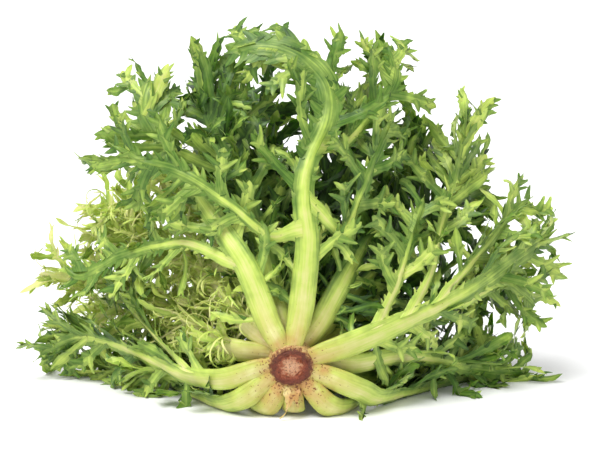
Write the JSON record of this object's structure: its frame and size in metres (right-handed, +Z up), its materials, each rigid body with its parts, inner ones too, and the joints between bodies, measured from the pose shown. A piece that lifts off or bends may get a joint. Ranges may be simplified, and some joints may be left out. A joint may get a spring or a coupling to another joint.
{
  "type": "curly endive head",
  "caption": "Head of curly endive lying on its side, its browned cut stem to the front and its deeply cut, frilly leaves fanned out from pale ribs.",
  "frame": {"origin": "on the table, under the middle of the head's box", "axes": "+X to the right as seen from the cut stem, +Y away from the cut stem and into the head, +Z up from the table"},
  "size_m": [0.2909, 0.1554, 0.1932],
  "materials": {
    "cut_stem": "matt, browned cut flesh",
    "outer_leaf": "satin, waxy leaf",
    "second_leaf": "satin, waxy leaf",
    "third_leaf": "satin, waxy leaf",
    "inner_leaf": "satin, tender leaf",
    "heart_leaf": "satin, tender leaf"
  },
  "bodies": {
    "root": {"cut_stem": "cut_stem", "outer_leaf_top": "outer_leaf", "outer_leaf_right": "outer_leaf", "outer_leaf_lower_right": "outer_leaf", "outer_leaf_under_right": "outer_leaf", "outer_leaf_under": "outer_leaf", "outer_leaf_under_left": "outer_leaf", "outer_leaf_lower_left": "outer_leaf", "outer_leaf_left": "outer_leaf", "outer_leaf_upper_left": "outer_leaf", "second_leaf_upper_right": "second_leaf", "second_leaf_right": "second_leaf", "second_leaf_lower_left": "second_leaf", "second_leaf_left": "second_leaf", "second_leaf_upper_left": "second_leaf", "second_leaf_top": "second_leaf", "third_leaf_top": "third_leaf", "third_leaf_top_right": "third_leaf", "third_leaf_right": "third_leaf", "third_leaf_lower_right": "third_leaf", "third_leaf_under_left": "third_leaf", "third_leaf_lower_left": "third_leaf", "third_leaf_upper_left": "third_leaf", "inner_leaf_top": "inner_leaf", "inner_leaf_upper_right": "inner_leaf", "inner_leaf_right": "inner_leaf", "inner_leaf_lower_right": "inner_leaf", "inner_leaf_lower_left": "inner_leaf", "inner_leaf_left": "inner_leaf", "heart_leaf_top": "heart_leaf", "heart_leaf_right": "heart_leaf", "heart_leaf_lower": "heart_leaf", "heart_leaf_left": "heart_leaf"}
  },
  "joints": []
}
